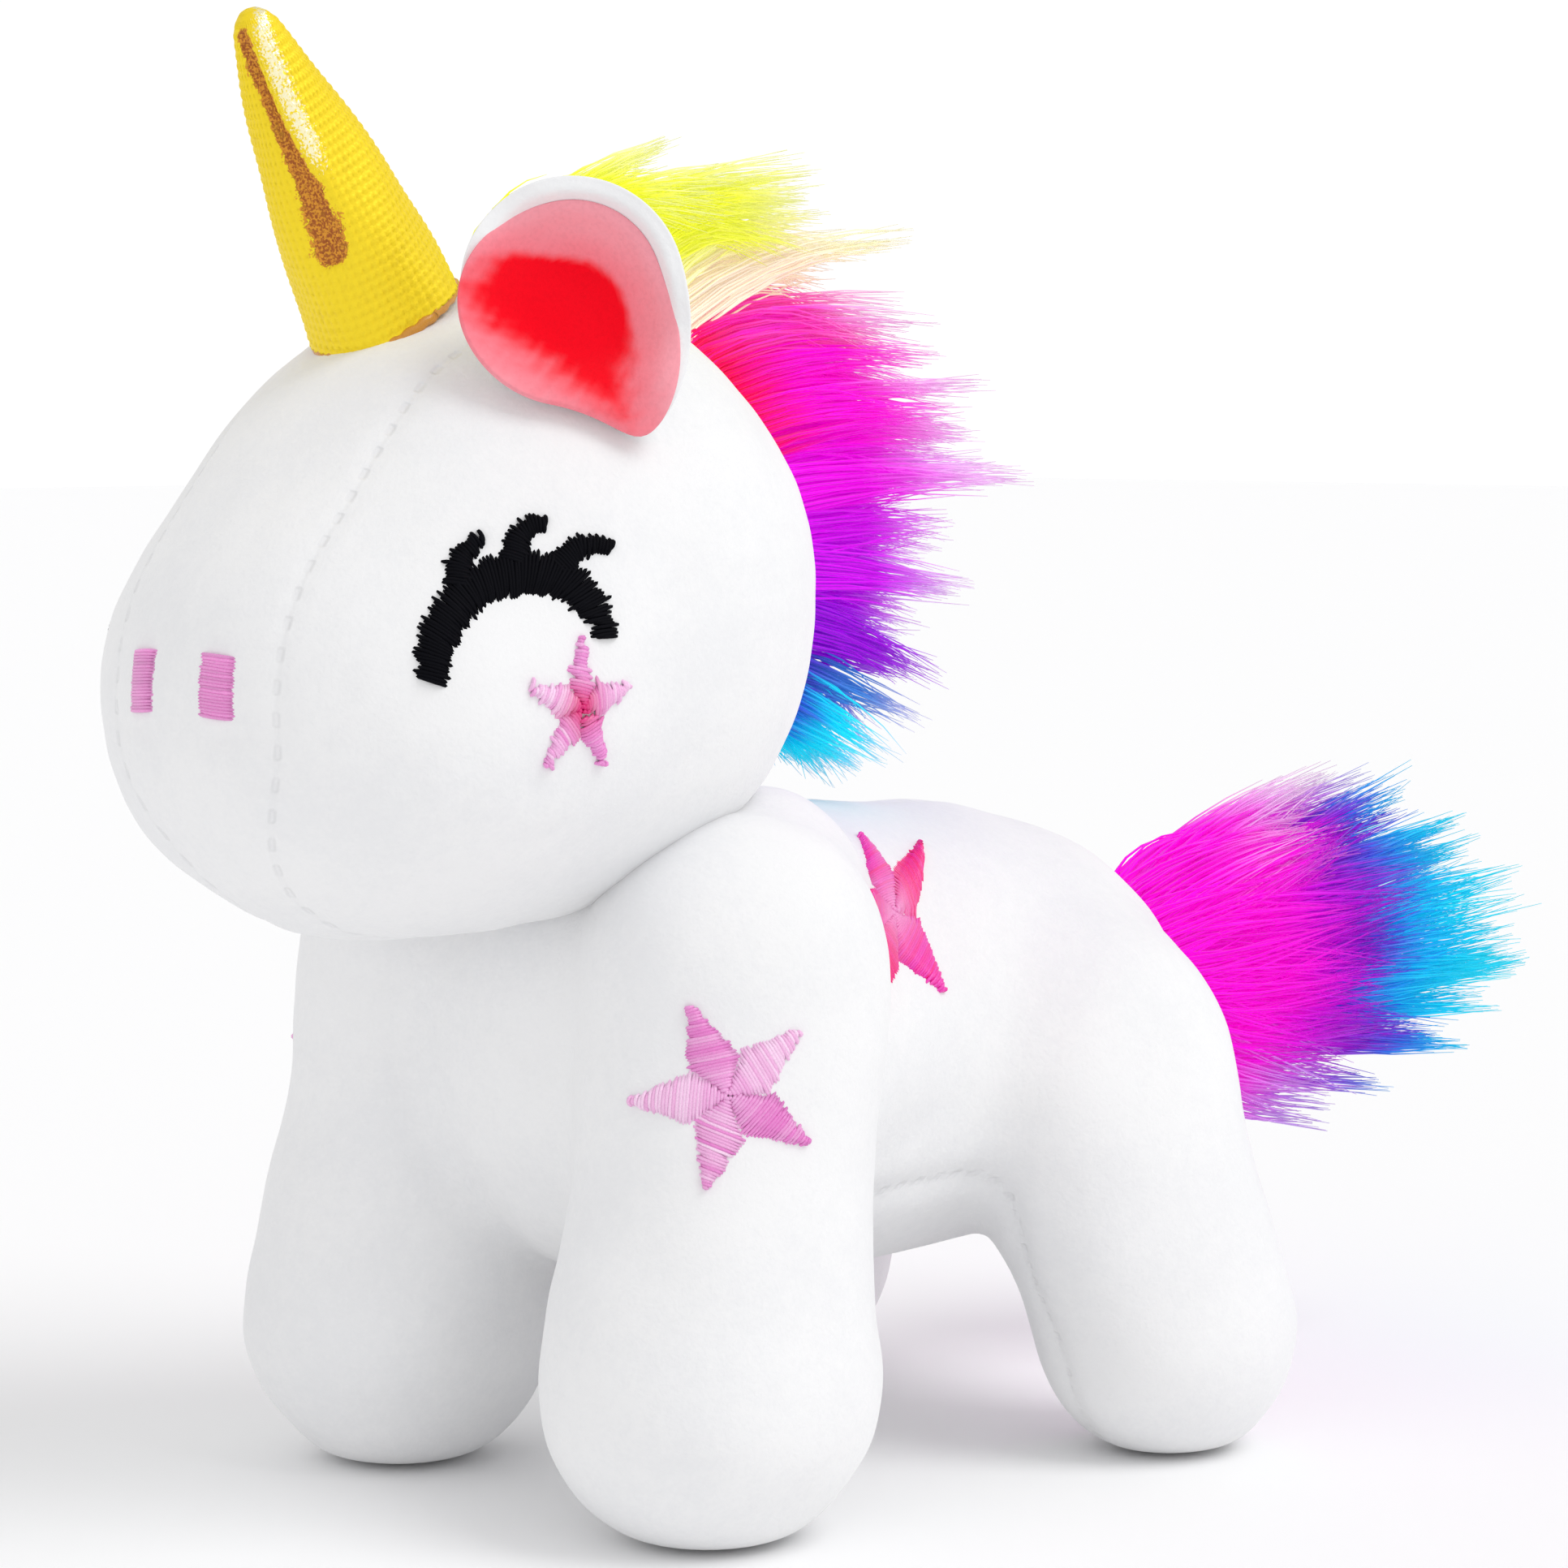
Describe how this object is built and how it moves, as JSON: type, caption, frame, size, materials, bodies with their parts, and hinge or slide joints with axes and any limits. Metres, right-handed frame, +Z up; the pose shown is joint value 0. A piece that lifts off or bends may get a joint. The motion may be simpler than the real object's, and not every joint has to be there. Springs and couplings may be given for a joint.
{
  "type": "plush unicorn toy",
  "caption": "Small standing stuffed unicorn: soft white plush body, gold cone horn, cupped pink-lined ears, long-pile rainbow mane and tail, embroidered sleeping eyes and stars.",
  "frame": {"origin": "on the floor, at the centre of the toy's outline seen from above", "axes": "+Z up, the toy faces -Y, its own left side is +X"},
  "size_m": [0.0754, 0.1559, 0.1288],
  "materials": {
    "plush_white": "short plush pile",
    "stuffing": "loose fibre",
    "thread_pink": "satin stitch",
    "thread_hot_pink": "satin stitch",
    "thread_black": "satin stitch",
    "gold_knit": "metallic knit",
    "hem_brown": "turned hem",
    "lining_pink": "short plush pile",
    "mane_hair": "long pile, yellow to magenta to blue",
    "tail_hair": "long pile, magenta to purple to cyan"
  },
  "bodies": {
    "torso": {"body_side_left": "plush_white", "body_side_right": "plush_white", "belly_gusset": "plush_white", "torso_stuffing": "stuffing", "flank_star_left": "thread_hot_pink", "flank_star_right": "thread_hot_pink"},
    "neck": {"neck_stuffing": "stuffing"},
    "head": {"head_side_left": "plush_white", "head_side_right": "plush_white", "face_gusset": "plush_white", "head_stuffing": "stuffing", "eye_left": "thread_black", "eye_right": "thread_black", "cheek_star_left": "thread_pink", "cheek_star_right": "thread_pink", "nostril_left": "thread_pink", "nostril_right": "thread_pink", "mane_backing": "plush_white", "mane_fur": "mane_hair"},
    "horn": {"horn_fabric": "gold_knit", "horn_hem": "hem_brown", "horn_stuffing": "stuffing"},
    "ear_left": {"ear_left_outer": "plush_white", "ear_left_lining": "lining_pink"},
    "ear_right": {"ear_right_outer": "plush_white", "ear_right_lining": "lining_pink"},
    "tail": {"tail_backing": "plush_white", "tail_fur": "tail_hair"},
    "leg_front_left": {"leg_front_left_outer": "plush_white", "leg_front_left_inner": "plush_white", "leg_front_left_stuffing": "stuffing", "shoulder_star_left": "thread_pink"},
    "leg_front_right": {"leg_front_right_outer": "plush_white", "leg_front_right_inner": "plush_white", "leg_front_right_stuffing": "stuffing", "shoulder_star_right": "thread_pink"},
    "leg_rear_left": {"leg_rear_left_outer": "plush_white", "leg_rear_left_inner": "plush_white", "leg_rear_left_stuffing": "stuffing"},
    "leg_rear_right": {"leg_rear_right_outer": "plush_white", "leg_rear_right_inner": "plush_white", "leg_rear_right_stuffing": "stuffing"}
  },
  "joints": [
    {"name": "head_turn", "type": "hinge", "parent": "torso", "child": "neck", "pos_m": [0, -0.043, 0.0795], "axis": [0, -0.454, 0.891], "range_deg": [-15, 15], "stiffness_Nm_per_rad": 0.4},
    {"name": "head_nod", "type": "hinge", "parent": "neck", "child": "head", "pos_m": [0, -0.043, 0.0795], "axis": [1, 0, 0], "range_deg": [-8, 8], "stiffness_Nm_per_rad": 0.4},
    {"name": "horn_sway", "type": "hinge", "parent": "head", "child": "horn", "pos_m": [0, -0.0553, 0.104], "axis": [1, 0, 0], "range_deg": [-10, 10], "stiffness_Nm_per_rad": 0.02},
    {"name": "ear_left_fold", "type": "hinge", "parent": "head", "child": "ear_left", "pos_m": [0.0215, -0.0447, 0.0999], "axis": [0.5417, 0.5417, 0.6428], "range_deg": [-10, 10], "stiffness_Nm_per_rad": 0.01},
    {"name": "ear_right_fold", "type": "hinge", "parent": "head", "child": "ear_right", "pos_m": [-0.0215, -0.0447, 0.0999], "axis": [0.5417, -0.5417, -0.6428], "range_deg": [-10, 10], "stiffness_Nm_per_rad": 0.01},
    {"name": "tail_lift", "type": "hinge", "parent": "torso", "child": "tail", "pos_m": [0, 0.0305, 0.041], "axis": [0.9397, -0.342, 0], "range_deg": [-20, 20], "stiffness_Nm_per_rad": 0.02},
    {"name": "leg_front_left_swing", "type": "hinge", "parent": "torso", "child": "leg_front_left", "pos_m": [0.02, -0.034, 0.0446], "axis": [1, 0, 0], "range_deg": [-12, 12], "stiffness_Nm_per_rad": 1},
    {"name": "leg_front_right_swing", "type": "hinge", "parent": "torso", "child": "leg_front_right", "pos_m": [-0.02, -0.034, 0.0446], "axis": [1, 0, 0], "range_deg": [-12, 12], "stiffness_Nm_per_rad": 1},
    {"name": "leg_rear_left_swing", "type": "hinge", "parent": "torso", "child": "leg_rear_left", "pos_m": [0.018, 0.012, 0.034], "axis": [1, 0, 0], "range_deg": [-12, 12], "stiffness_Nm_per_rad": 1},
    {"name": "leg_rear_right_swing", "type": "hinge", "parent": "torso", "child": "leg_rear_right", "pos_m": [-0.018, 0.012, 0.034], "axis": [1, 0, 0], "range_deg": [-12, 12], "stiffness_Nm_per_rad": 1}
  ]
}
